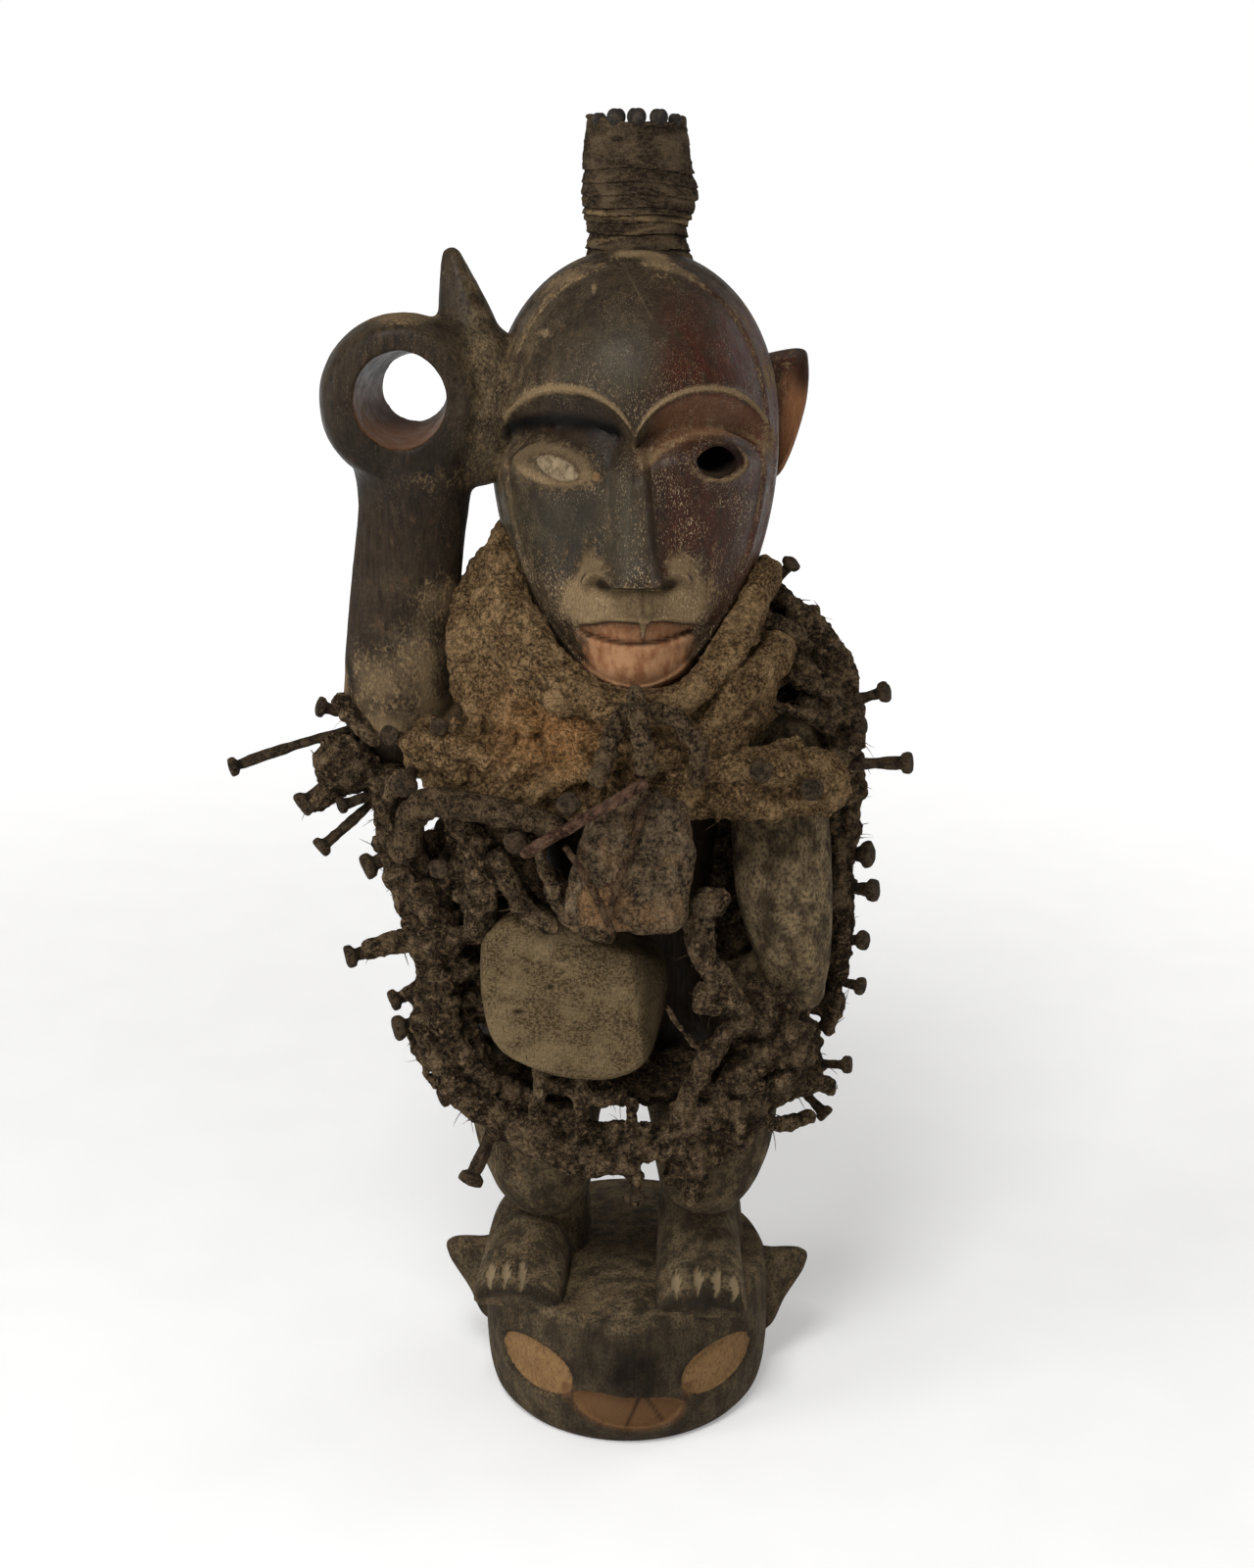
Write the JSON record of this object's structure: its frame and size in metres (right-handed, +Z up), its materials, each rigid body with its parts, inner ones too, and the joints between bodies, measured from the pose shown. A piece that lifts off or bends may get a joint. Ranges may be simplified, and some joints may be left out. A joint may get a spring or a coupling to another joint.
{
  "type": "nkisi nkondi power figure",
  "caption": "Standing carved wooden power figure with one raised pierced fist, wrapped in rag, cord and resin, set with iron nails, on a plinth carved as a beast's head.",
  "frame": {"origin": "centre of the plinth's flat underside", "axes": "+Z up; the face looks along -Y; +X is to the right of someone who faces the figure, the side of its lowered arm"},
  "size_m": [0.3234, 0.2062, 0.6223],
  "materials": {
    "carved_wood": "near-black hand-polished patina with maroon-red zones, pale dust in the cuts and bare ochre wood on the plinth's eyes and mouth",
    "eye_inlay": "pale clouded cream-grey inlay",
    "cord": "stiff crusted cord",
    "packet_clay": "crusted dark grey-brown matter with ochre patches",
    "box_clay": "fuzzy khaki-brown crust",
    "twig": "reddish dry bark",
    "twisted_rag": "twisted, stiffened, dark brown rag",
    "resin_crust": "cracked brown clay and resin with orange-ochre earth and pale specks",
    "rag": "very dark, clumped, resin-soaked rag with dusty high spots",
    "crown_wrap": "dark strips of cloth wound in layers with thin tan edges",
    "bead": "black seed-like bead",
    "nail_iron": "near-black rusted iron with a greenish cast"
  },
  "bodies": {
    "root": {"carved_figure": "carved_wood", "eye_inlay": "eye_inlay", "packet_cord_1": "cord", "packet_cord_2": "cord", "medicine_packet": "packet_clay", "belly_box": "box_clay", "twig": "twig", "collar_strand_left": "twisted_rag", "collar_strand_middle": "twisted_rag", "collar_strand_right": "twisted_rag", "neck_roll": "resin_crust", "resin_mantle": "resin_crust", "rag_mass_left": "rag", "rag_mass_right": "rag", "ribbed_roll": "rag", "hip_rags": "rag", "back_rag": "rag", "crown_bundle": "crown_wrap", "crown_bead_1": "bead", "crown_bead_2": "bead", "crown_bead_3": "bead", "crown_bead_4": "bead", "crown_bead_5": "bead", "nail_elbow_top": "nail_iron", "nail_spike_long": "nail_iron", "nail_elbow_1": "nail_iron", "nail_elbow_2": "nail_iron", "nail_elbow_3": "nail_iron", "nail_flank_1": "nail_iron", "nail_flank_2": "nail_iron", "nail_flank_3": "nail_iron", "nail_flank_4": "nail_iron", "nail_flank_5": "nail_iron", "nail_thigh_left": "nail_iron", "nail_front_1": "nail_iron", "nail_front_2": "nail_iron", "nail_front_3": "nail_iron", "nail_front_4": "nail_iron", "nail_front_5": "nail_iron", "nail_front_6": "nail_iron", "nail_front_7": "nail_iron", "nail_front_8": "nail_iron", "nail_shoulder_1": "nail_iron", "nail_shoulder_2": "nail_iron", "nail_shoulder_3": "nail_iron", "nail_collar_right": "nail_iron", "nail_rib_1": "nail_iron", "nail_rib_2": "nail_iron", "nail_rib_3": "nail_iron", "nail_rib_4": "nail_iron", "nail_hip_1": "nail_iron", "nail_hip_2": "nail_iron", "nail_groin": "nail_iron"}
  },
  "joints": []
}
